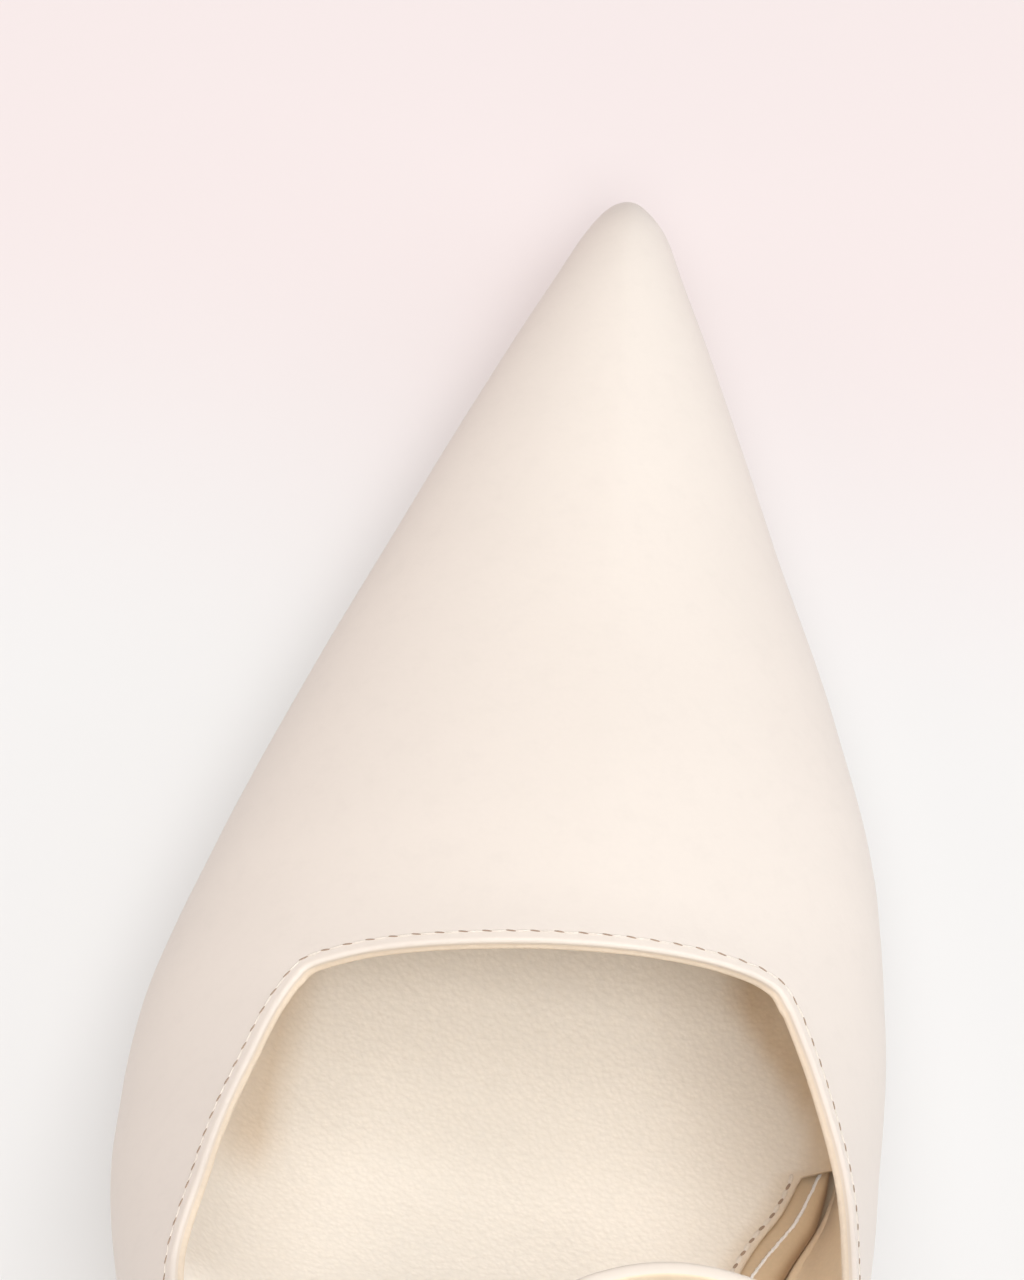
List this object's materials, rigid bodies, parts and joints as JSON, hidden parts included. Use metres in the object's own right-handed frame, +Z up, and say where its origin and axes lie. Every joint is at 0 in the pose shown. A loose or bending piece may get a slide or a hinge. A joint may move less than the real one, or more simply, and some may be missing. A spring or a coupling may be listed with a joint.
{
  "type": "slingback pump",
  "caption": "Left slingback pump with a pointed closed toe, squared throat, slim covered heel, narrow sling and a buckled ankle strap.",
  "frame": {"origin": "centre of the heel tip's ground face, on the floor", "axes": "+Z up, +Y to the toe along the shoe, +X to the inner side of the foot"},
  "size_m": [0.0782, 0.2473, 0.1348],
  "materials": {
    "cream_leather": "matte",
    "sole_leather": "matte",
    "lining_leather": "matte",
    "top_rubber": "matte",
    "pale_brass": "satin"
  },
  "bodies": {
    "root": {"upper": "cream_leather", "outsole": "sole_leather", "insole": "cream_leather", "sock_lining": "lining_leather", "heel": "cream_leather", "top_piece": "top_rubber", "sling_strap": "cream_leather", "ankle_strap": "cream_leather", "buckle_frame": "pale_brass", "buckle_prong": "pale_brass", "keeper_loop": "cream_leather"}
  },
  "joints": []
}
